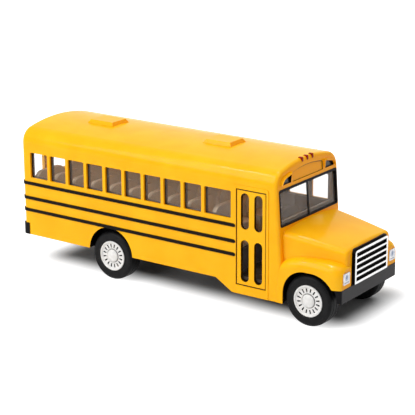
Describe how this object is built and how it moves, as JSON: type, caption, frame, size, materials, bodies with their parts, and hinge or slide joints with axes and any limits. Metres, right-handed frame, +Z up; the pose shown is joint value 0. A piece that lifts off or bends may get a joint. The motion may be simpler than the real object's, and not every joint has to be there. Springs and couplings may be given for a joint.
{
  "type": "die-cast toy school bus",
  "caption": "Yellow die-cast toy school bus with a long hood, hollow saloon with bench seats, opening front door and rolling wheels.",
  "frame": {"origin": "on the ground under the middle of the bus's overall box", "axes": "+X forward, +Y the bus's left, +Z up"},
  "size_m": [0.216, 0.0622, 0.0841],
  "materials": {
    "body_paint": "gloss",
    "black_paint": "satin",
    "red_lens": "gloss",
    "amber_lens": "gloss",
    "clear_lens": "gloss",
    "silver_plastic": "satin",
    "glazing": "gloss",
    "interior_plastic": "matte",
    "dash_plastic": "matte",
    "base_plastic": "matte",
    "steel": "satin",
    "hub_plastic": "satin",
    "tyre": "matte"
  },
  "bodies": {
    "bus": {"body_shell": "body_paint", "chassis_base": "base_plastic", "clearance_lamps": "red_lens", "dashboard": "dash_plastic", "driver_seat": "interior_plastic", "front_bumper": "base_plastic", "front_clip": "body_paint", "front_warning_lamps": "amber_lens", "grille": "silver_plastic", "grille_surround": "black_paint", "headlamps": "clear_lens", "interior_floor": "interior_plastic", "lining_left": "interior_plastic", "lining_right": "interior_plastic", "rear_bumper": "base_plastic", "rear_glazing": "glazing", "rear_warning_lamps": "red_lens", "roof_hatches": "body_paint", "rub_rails_left": "black_paint", "rub_rails_right": "black_paint", "seats_left": "interior_plastic", "seats_right": "interior_plastic", "side_glazing_left": "glazing", "side_glazing_right": "glazing", "steering_wheel": "dash_plastic", "tail_lamps": "red_lens", "windscreen": "glazing", "windscreen_frame": "interior_plastic", "windscreen_seal": "black_paint"},
    "door": {"door": "body_paint"},
    "front_wheelset": {"front_axle": "steel", "front_hub_right": "hub_plastic", "front_hub_left": "hub_plastic", "front_tyre_right": "tyre", "front_tyre_left": "tyre"},
    "rear_wheelset": {"rear_axle": "steel", "rear_hub_right": "hub_plastic", "rear_hub_left": "hub_plastic", "rear_tyre_right": "tyre", "rear_tyre_left": "tyre"}
  },
  "joints": [
    {"name": "front_wheels_roll", "type": "hinge", "parent": "bus", "child": "front_wheelset", "pos_m": [0.0874, 0, 0.01385], "axis": [0, 1, 0], "continuous": true},
    {"name": "rear_wheels_roll", "type": "hinge", "parent": "bus", "child": "rear_wheelset", "pos_m": [-0.0422, 0, 0.01385], "axis": [0, 1, 0], "continuous": true},
    {"name": "door_swing", "type": "hinge", "parent": "bus", "child": "door", "pos_m": [0.0611, -0.02965, 0.0413], "axis": [0, 0, 1], "range_deg": [0, 80]}
  ]
}
